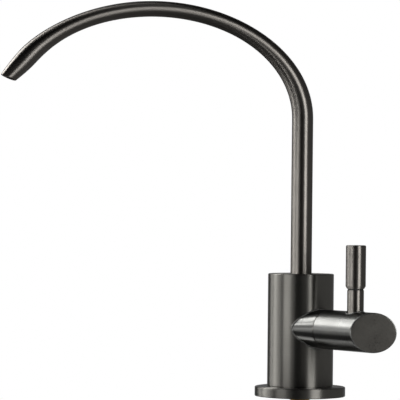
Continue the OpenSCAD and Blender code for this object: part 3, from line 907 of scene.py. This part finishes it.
def threaded_shank():
    """The fixing shank with its thread cut as a helix."""
    length = SHANK_TOP + SHANK_H
    rows = int(length / THREAD_PITCH * THREAD_STEPS)
    rings = []
    for i in range(rows + 1):
        z = -SHANK_H + length * i / rows
        ring = []
        for a in angles(SHANK_SIDES):
            r = thread_radius(z, a)
            ring.append((r * math.cos(a), r * math.sin(a), z))
        rings.append(ring)
    rings += [circle(SHANK_BORE_R, z, SHANK_SIDES) for z in (SHANK_TOP, -SHANK_H)]
    piece = skin("threaded_shank", rings, 2 * math.pi * SHANK_R, loop=True)
    finish_piece(piece, "tap_body", "brass", [BRASS], "shank")


NODE_MATERIALS = {
    BRASS: ("spout_foot", "cartridge_sleeve", "spindle", "gland_nut", "lock_nut"),
    STEEL: ("spout_clip", "grub_screw", "deck_washer_steel", "grip_ring"),
    RUBBER: (
        "spout_oring_upper", "spout_oring_lower", "deck_gasket", "seat_seal", "spindle_orings",
        "cartridge_oring", "shank_seal", "deck_washer_rubber", "inlet_face_seal", "inlet_oring",
    ),
    CERAMIC: ("fixed_disc", "moving_disc"),
    NYLON: ("flow_straightener", "thrust_washer"),
    WHITE: ("inlet_fitting",),
    GREY: ("inlet_cap", "release_collet"),
}


def dress_nodes():
    """Better materials for the CAD nodes that stay in view or inside."""
    for material, names in NODE_MATERIALS.items():
        for name in names:
            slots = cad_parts[name].data.materials
            slots.clear()
            slots.append(material)


FLOOR_R = 750.0
FLOOR_SIDES = 96
FLOOR_BELOW = 0.2
FLOOR_TONE = (0.92, 0.92, 0.92, 1)
FLOOR_ROUGHNESS = 0.9
FLOOR_SPECULAR = 0.1
# Distances in metres between which the floor fades out
FLOOR_FADE = 0.35, 0.72


def floor_material():
    """A pale matt floor that fades out at a distance."""
    material, tree, shader = node_material("pale_floor")
    shader.inputs["Base Color"].default_value = FLOOR_TONE
    shader.inputs["Roughness"].default_value = FLOOR_ROUGHNESS
    shader.inputs["Specular IOR Level"].default_value = FLOOR_SPECULAR
    where = add_node(tree, "ShaderNodeTexCoord")
    length = add_node(tree, "ShaderNodeVectorMath", operation="LENGTH")
    fade = add_node(
        tree, "ShaderNodeMapRange", interpolation_type="SMOOTHSTEP",
        inputs={"From Min": FLOOR_FADE[0], "From Max": FLOOR_FADE[1], "To Min": 0, "To Max": 1},
    )
    clear = add_node(tree, "ShaderNodeBsdfTransparent")
    mix = add_node(tree, "ShaderNodeMixShader")
    out = tree.nodes["Material Output"]
    tree.links.new(where.outputs["Object"], length.inputs[0])
    tree.links.new(length.outputs["Value"], fade.inputs["Value"])
    tree.links.new(fade.outputs["Result"], mix.inputs["Fac"])
    tree.links.new(shader.outputs["BSDF"], mix.inputs[1])
    tree.links.new(clear.outputs["BSDF"], mix.inputs[2])
    tree.links.new(mix.outputs["Shader"], out.inputs["Surface"])
    return material


def floor():
    """A pale round floor under the lowest piece, which fades into the white surroundings."""
    z = cad_box[0].z / MM - FLOOR_BELOW
    turns = [2 * math.pi * k / FLOOR_SIDES for k in range(FLOOR_SIDES)]
    points = [(0, 0, z)] + [(FLOOR_R * math.cos(a), FLOOR_R * math.sin(a), z) for a in turns]
    faces = [(0, 1 + k, 1 + (k + 1) % FLOOR_SIDES) for k in range(FLOOR_SIDES)]
    obj = make_object("floor", points, faces, [[(0, 0)] * 3 for face in faces])
    obj.data.materials.append(floor_material())
    obj.visible_glossy = False


# Studio, in metres: the surroundings' strength where they are neither seen nor mirrored, and the
# places that boxes and cards stand round
AMBIENT = 0.75
AIM = Vector((-0.03, 0, 0.10))
LIP_AT = Vector((-0.167, 0, 0.179))
ARCH_AT = Vector((-0.105, 0, 0.187))
FOOT_AT = Vector((0, 0, 0.02))
LAMP_R = 2.6
CARD_R = 3.0
FLAG_R = 0.15
CARD_SOFT = 4
# Angle of a card's facets
CARD_STEP = 6

# Soft boxes: the group of pieces that a box lights, its angles as seen from the centre that it looks
# at, its brightness, and its distance from that centre
Box = namedtuple(
    "Box", "name group azimuth elevation width height radiance distance centre", defaults=(LAMP_R, AIM)
)
BOXES = (
    Box("box_right_front", "gunmetal", 40, 10, 23, 28, 13),
    Box("box_right_slim", "slim", 39, 3, 25, 46, 9.5),
    Box("box_left_back", "thick", -111, 33, 16, 34, 25),
    Box("box_left_mid", "lying", -111, 13, 16, 6, 7),
    Box("box_left_slim_back", "slim", -109, 32, 19, 36, 13),
    Box("box_left_low", "gunmetal", -112, 7, 16, 16, 2.5),
    Box("box_far_back", "gunmetal", -127, 8, 14, 24, 7),
    Box("box_left_front", "upright", -51, 5, 26, 12, 22),
    Box("box_left_edge", "upright", -31, 5, 16, 12, 6),
    Box("box_left_fill", "upright", -79, 5, 14, 14, 3),
    Box("box_left_slim", "slim", -70, 5, 56, 12, 16),
    Box("box_rim", "slim", -130, 35, 10, 10, 60, distance=0.3, centre=LIP_AT),
    Box("box_lip", "slim", -122, 38, 40, 40, 9, distance=0.045, centre=LIP_AT),
    Box("box_saddle", "saddle", -90, 29, 26, 22, 11),
    Box("box_top", "lying", -109, 60, 22, 24, 4.5),
    Box("box_low", "lying", -104, -50, 22, 26, 5),
    Box("box_bevel", "lying", -50, -5, 20, 20, 12),
)
KEY = Box("key", "others", -35, 50, 30, 30, 3.5)

# Cards: the angles that a card covers as seen from its centre, its brightness, the angle over which
# its edges fade, its distance from that centre, the share that it hides of what is behind it, and
# whether it is a flag, which keeps light off the metal
Card = namedtuple(
    "Card", "name azimuths elevations level soft distance centre cover shades",
    defaults=(CARD_SOFT, CARD_R, AIM, 1, False),
)
CARDS = (
    Card("card_front", (-36, 24), (-14, 60), 0.065),
    Card("card_right_low", (50, 152), (-14, 26), 0.5),
    Card("card_right_high", (50, 160), (24, 60), 0.03),
    Card("card_back", (150, 182), (-14, 48), 0.35),
    Card("card_back_left", (180, 222), (-14, 48), 0.3),
    Card("card_gap", (-92, -70), (14, 60), 0.3),
    Card("card_top", (-180, 180), (48, 90), 0.02, soft=6),
    Card("card_low_left", (-180, 5), (-90, -12), 0.12),
    Card("card_low_right", (0, 180), (-90, -12), 0.55),
    Card("flag_arch", (-100, -15), (-9, 45), 0.03, 6, FLAG_R, ARCH_AT, shades=True),
    Card("flag_low", (-85, -15), (-25, 10), 0.05, 8, FLAG_R, FOOT_AT, cover=0.55, shades=True),
)


def direction(azimuth, elevation):
    """A direction from the tap, by its azimuth and its elevation."""
    a, e = math.radians(azimuth), math.radians(elevation)
    return Vector((math.sin(a) * math.cos(e), -math.cos(a) * math.cos(e), math.sin(e)))


def surroundings():
    """White surroundings, at full strength where they are seen or mirrored."""
    world = bpy.data.worlds.new("studio")
    bpy.context.scene.world = world
    world.use_nodes = True
    tree = world.node_tree
    back = tree.nodes["Background"]
    back.inputs["Color"].default_value = (1, 1, 1, 1)
    path = add_node(tree, "ShaderNodeLightPath")
    seen = add_node(tree, "ShaderNodeMath", operation="MAXIMUM")
    also = add_node(tree, "ShaderNodeMath", operation="MAXIMUM")
    level = add_node(tree, "ShaderNodeMapRange", inputs={"To Min": AMBIENT, "To Max": 1})
    tree.links.new(path.outputs["Is Camera Ray"], seen.inputs[0])
    tree.links.new(path.outputs["Is Glossy Ray"], seen.inputs[1])
    tree.links.new(seen.outputs["Value"], also.inputs[0])
    tree.links.new(path.outputs["Is Transmission Ray"], also.inputs[1])
    tree.links.new(also.outputs["Value"], level.inputs["Value"])
    tree.links.new(level.outputs["Result"], back.inputs["Strength"])
    world.cycles.sampling_method = "NONE"


def piece_group(name, pieces):
    """A collection of pieces that a box lights, or that shade its light."""
    group = bpy.data.collections.new(name)
    for piece in pieces:
        group.objects.link(piece)
    return group


def lamp(box, pieces):
    """A soft box that looks at its centre and lights a group of pieces."""
    data = bpy.data.lights.new(box.name, "AREA")
    data.shape = "RECTANGLE"
    data.size = 2 * box.distance * math.tan(math.radians(box.width / 2))
    data.size_y = 2 * box.distance * math.tan(math.radians(box.height / 2))
    data.energy = box.radiance * math.pi * data.size * data.size_y
    obj = bpy.data.objects.new(box.name, data)
    way = direction(box.azimuth, box.elevation)
    obj.location = box.centre + way * box.distance
    obj.rotation_mode = "QUATERNION"
    obj.rotation_quaternion = (-way).to_track_quat("-Z", "Y")
    obj.visible_camera = False
    obj.light_linking.receiver_collection = pieces
    bpy.context.scene.collection.objects.link(obj)
    return obj


def lamps():
    """Soft boxes for the dark metal, and a key light for all the rest and the floor."""
    lying = [x for x in gunmetal_pieces if x.data.materials[0] == BARREL]
    slim = [x for x in gunmetal_pieces if x.data.materials[0] == DRAWN]
    meshes = [x for x in bpy.context.scene.objects if x.type == "MESH"]
    others = [x for x in meshes if x not in gunmetal_pieces]
    members = {
        "gunmetal": gunmetal_pieces,
        "lying": lying,
        "slim": slim,
        "upright": [x for x in gunmetal_pieces if x not in lying],
        "saddle": [x for x in lying if "saddle" in x.name],
        "thick": [x for x in gunmetal_pieces if x not in slim],
        "others": others,
    }
    groups = {name: piece_group(name + "_lit", pieces) for name, pieces in members.items()}
    for box in BOXES:
        lamp(box, groups[box.group])
    key = lamp(KEY, groups[KEY.group])
    key.light_linking.blocker_collection = piece_group("shadow_casters", gunmetal_pieces + others)


def card_material(card, feather):
    """An even card whose edges fade out. The feather is the share of its width and of its height
    over which they do."""
    material = bpy.data.materials.new(card.name)
    material.use_nodes = True
    tree = material.node_tree
    tree.nodes.clear()
    uv = add_node(tree, "ShaderNodeUVMap", uv_map=BRUSH)
    split = add_node(tree, "ShaderNodeSeparateXYZ")
    tree.links.new(uv.outputs["UV"], split.inputs["Vector"])
    mask, most = None, card.cover
    for axis, share in zip("XY", feather):
        for start, end in ((0, share), (1, 1 - share)):
            side = add_node(
                tree, "ShaderNodeMapRange", interpolation_type="SMOOTHSTEP",
                inputs={"From Min": start, "From Max": end, "To Min": 0, "To Max": most},
            )
            tree.links.new(split.outputs[axis], side.inputs["Value"])
            if mask is None:
                mask, most = side.outputs["Result"], 1
            else:
                both = add_node(tree, "ShaderNodeMath", operation="MULTIPLY")
                tree.links.new(mask, both.inputs[0])
                tree.links.new(side.outputs["Result"], both.inputs[1])
                mask = both.outputs["Value"]
    tone = (card.level, card.level, card.level, 1)
    clear = add_node(tree, "ShaderNodeBsdfTransparent")
    even = add_node(tree, "ShaderNodeEmission", inputs={"Color": tone, "Strength": 1})
    mix = add_node(tree, "ShaderNodeMixShader")
    out = add_node(tree, "ShaderNodeOutputMaterial")
    tree.links.new(mask, mix.inputs["Fac"])
    tree.links.new(clear.outputs["BSDF"], mix.inputs[1])
    tree.links.new(even.outputs["Emission"], mix.inputs[2])
    tree.links.new(mix.outputs["Shader"], out.inputs["Surface"])
    material.cycles.emission_sampling = "NONE"
    return material


def stand_card(card):
    """A card of the studio, curved round its centre. It shows in reflections, not in the picture."""
    left, right = card.azimuths
    low, high = card.elevations
    wide, tall = right - left, high - low
    columns = max(2, int(wide / CARD_STEP))
    rows = max(2, int(tall / CARD_STEP))
    points = []
    for i in range(columns + 1):
        for j in range(rows + 1):
            way = direction(left + wide * i / columns, low + tall * j / rows)
            points.append((card.centre + way * card.distance) / MM)
    faces, uvs = [], []
    for i in range(columns):
        for j in range(rows):
            corners = [(i, j), (i + 1, j), (i + 1, j + 1), (i, j + 1)]
            faces.append([a * (rows + 1) + b for a, b in corners])
            uvs.append([(a / columns, b / rows) for a, b in corners])
    obj = make_object(card.name, points, faces, uvs)
    obj.data.materials.append(card_material(card, (card.soft / wide, card.soft / tall)))
    obj.visible_camera = False
    obj.visible_shadow = card.shades
    obj.visible_diffuse = False
    obj.visible_transmission = False
    obj.visible_volume_scatter = False


def studio():
    """White surroundings, soft boxes and cards, as round a small shiny product."""
    surroundings()
    lamps()
    for card in CARDS:
        stand_card(card)


# Camera: its place in millimetres, its turns, and its focal length in pixels of the picture
CAMERA_AT = Vector((-44.95, -1532.69, 111.91))
CAMERA_YAW = math.radians(-0.473)
CAMERA_PITCH = math.radians(0.050)
CAMERA_ROLL = math.radians(-0.580)
FOCAL_PX = 2707.9
IMAGE_PX = 400
SENSOR_W = 36.0
CLIP_START = 0.05
CLIP_END = 50


def camera():
    """The photograph's camera: nearly level, far off, and turned a little about its own axis."""
    level = math.cos(CAMERA_PITCH)
    ahead = Vector((
        math.sin(CAMERA_YAW) * level,
        math.cos(CAMERA_YAW) * level,
        -math.sin(CAMERA_PITCH),
    ))
    right = Vector((math.cos(CAMERA_YAW), -math.sin(CAMERA_YAW), 0))
    up = right.cross(ahead)
    turned_right = right * math.cos(CAMERA_ROLL) - up * math.sin(CAMERA_ROLL)
    turned_up = up * math.cos(CAMERA_ROLL) + right * math.sin(CAMERA_ROLL)
    data = bpy.data.cameras.new("camera")
    data.sensor_width = SENSOR_W
    data.lens = SENSOR_W * FOCAL_PX / IMAGE_PX
    data.clip_start = CLIP_START
    data.clip_end = CLIP_END
    obj = bpy.data.objects.new("camera", data)
    axes = Matrix((turned_right, turned_up, -ahead)).transposed().to_4x4()
    obj.matrix_world = Matrix.Translation(CAMERA_AT * MM) @ axes
    bpy.context.scene.collection.objects.link(obj)
    bpy.context.scene.camera = obj


camera()
spout()
tap_body()
collar()
flange()
housing()
saddle()
saddle_bead()
barrel()
lever_bead()
lever()
threaded_shank()
dress_nodes()
floor()
studio()
bpy.context.scene.view_settings.view_transform = "Standard"
